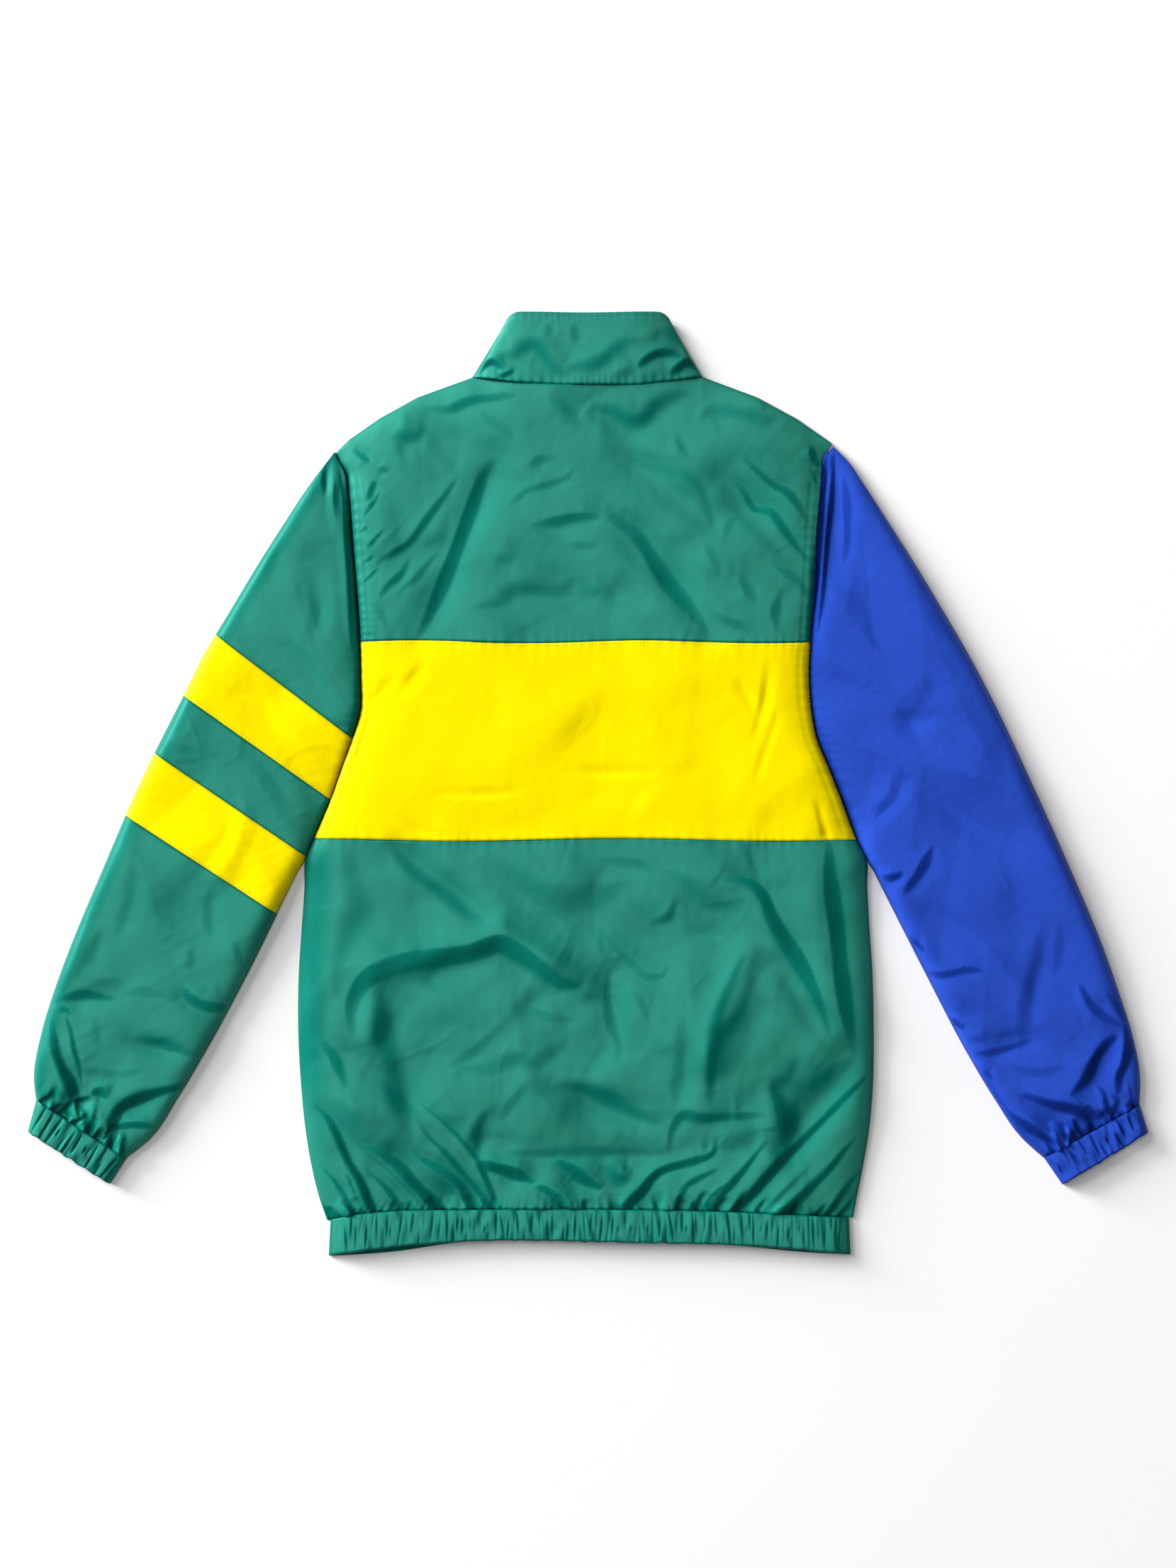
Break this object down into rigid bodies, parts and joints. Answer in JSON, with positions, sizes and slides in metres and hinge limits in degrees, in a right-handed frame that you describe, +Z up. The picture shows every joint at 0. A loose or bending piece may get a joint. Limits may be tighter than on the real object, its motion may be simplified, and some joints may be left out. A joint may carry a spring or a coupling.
{
  "type": "track jacket",
  "caption": "Hip-length nylon track jacket with a stand collar, a yellow band across the back, one striped and one plain sleeve, and gathered cuffs and hem, laid flat on its front.",
  "frame": {"origin": "centre of the bounding box in X and Y, on the surface that the jacket lies on", "axes": "+Z up out of the back, +Y towards the collar, +X towards the wearer's right sleeve"},
  "size_m": [0.949, 0.7993, 0.0169],
  "materials": {
    "back_upper": "satin",
    "back_band": "satin",
    "back_lower": "satin",
    "front_left": "satin",
    "front_right": "satin",
    "sleeve_left_head": "satin",
    "sleeve_left_stripe_upper": "satin",
    "sleeve_left_middle": "satin",
    "sleeve_left_stripe_lower": "satin",
    "sleeve_left_forearm": "satin",
    "sleeve_left_wrist": "satin",
    "cuff_left": "satin",
    "sleeve_right_head": "satin",
    "sleeve_right_upper_arm": "satin",
    "sleeve_right_elbow": "satin",
    "sleeve_right_forearm": "satin",
    "sleeve_right_wrist": "satin",
    "cuff_right": "satin",
    "collar": "satin",
    "hem_band": "satin",
    "zip_tape_left": "satin",
    "zip_tape_right": "satin",
    "zip_slider": "satin",
    "zip_pull": "satin"
  },
  "bodies": {
    "jacket": {"back_upper": "back_upper", "back_band": "back_band", "back_lower": "back_lower", "front_left": "front_left", "front_right": "front_right", "sleeve_left_head": "sleeve_left_head", "sleeve_left_stripe_upper": "sleeve_left_stripe_upper", "sleeve_left_middle": "sleeve_left_middle", "sleeve_left_stripe_lower": "sleeve_left_stripe_lower", "sleeve_left_forearm": "sleeve_left_forearm", "sleeve_left_wrist": "sleeve_left_wrist", "cuff_left": "cuff_left", "sleeve_right_head": "sleeve_right_head", "sleeve_right_upper_arm": "sleeve_right_upper_arm", "sleeve_right_elbow": "sleeve_right_elbow", "sleeve_right_forearm": "sleeve_right_forearm", "sleeve_right_wrist": "sleeve_right_wrist", "cuff_right": "cuff_right", "collar": "collar", "hem_band": "hem_band", "zip_tape_left": "zip_tape_left", "zip_tape_right": "zip_tape_right", "zip_slider": "zip_slider"},
    "zip_pull": {"zip_pull": "zip_pull"}
  },
  "joints": [
    {"name": "zip_pull_hinge", "type": "hinge", "parent": "jacket", "child": "zip_pull", "pos_m": [0, 0.338, 0.0024], "axis": [1, 0, 0], "range_deg": [0, 150]}
  ]
}
